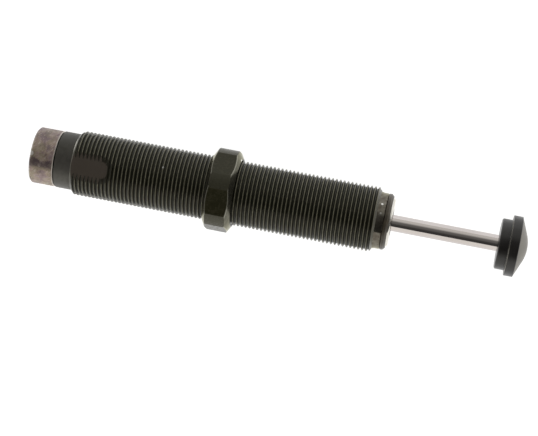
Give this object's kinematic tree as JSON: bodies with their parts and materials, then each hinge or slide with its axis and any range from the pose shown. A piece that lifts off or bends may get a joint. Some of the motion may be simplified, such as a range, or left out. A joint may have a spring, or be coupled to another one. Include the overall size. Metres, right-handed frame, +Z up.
{
  "type": "industrial shock absorber",
  "caption": "Hydraulic industrial shock absorber with a threaded body, a lock nut, a spring-returned chromed rod and a domed impact button.",
  "frame": {"origin": "on the axis at the front end of the mounting thread", "axes": "+X along the axis towards the button, +Z up and square to two flats of the lock nut, +Y completes the frame"},
  "size_m": [0.1904, 0.0318, 0.03],
  "materials": {
    "body_steel": "black oxide, satin",
    "nut_steel": "black oxide, satin",
    "black_steel": "black oxide, satin",
    "gland_steel": "blackened, brownish, half gloss",
    "plug_steel": "heat-treated, mottled brown",
    "bare_steel": "turned",
    "ring_iron": "ground",
    "bronze": "turned",
    "rod_chrome": "ground and hard chromed",
    "seal_rubber": "matt",
    "foam": "closed-cell foam"
  },
  "bodies": {
    "housing": {"outer_body": "body_steel", "rear_plug": "plug_steel", "plug_o_ring": "seal_rubber", "fill_screw": "black_steel", "fill_seal": "seal_rubber", "pressure_tube": "bare_steel", "spring_seat": "bare_steel", "return_spring": "bare_steel", "rod_guide": "bronze", "guide_bush": "bronze", "accumulator_foam": "foam", "gland": "gland_steel", "gland_o_ring": "seal_rubber", "rod_seal": "seal_rubber", "wiper": "seal_rubber"},
    "rod": {"piston_rod": "rod_chrome", "piston": "bare_steel", "piston_nut": "bare_steel", "button": "black_steel"},
    "check_ring": {"piston_ring": "ring_iron"},
    "nut": {"lock_nut": "nut_steel"}
  },
  "joints": [
    {"name": "rod_stroke", "type": "slide", "parent": "housing", "child": "rod", "axis": [-1, 0, 0], "range_m": [0, 0.04], "stiffness_N_per_m": 300, "springref_m": -0.03, "deforming": ["return_spring"]},
    {"name": "ring_float", "type": "slide", "parent": "rod", "child": "check_ring", "axis": [1, 0, 0], "range_m": [0, 0.0008]},
    {"name": "nut_travel", "type": "slide", "parent": "housing", "child": "nut", "axis": [1, 0, 0], "range_m": [-0.041, 0.052]}
  ]
}
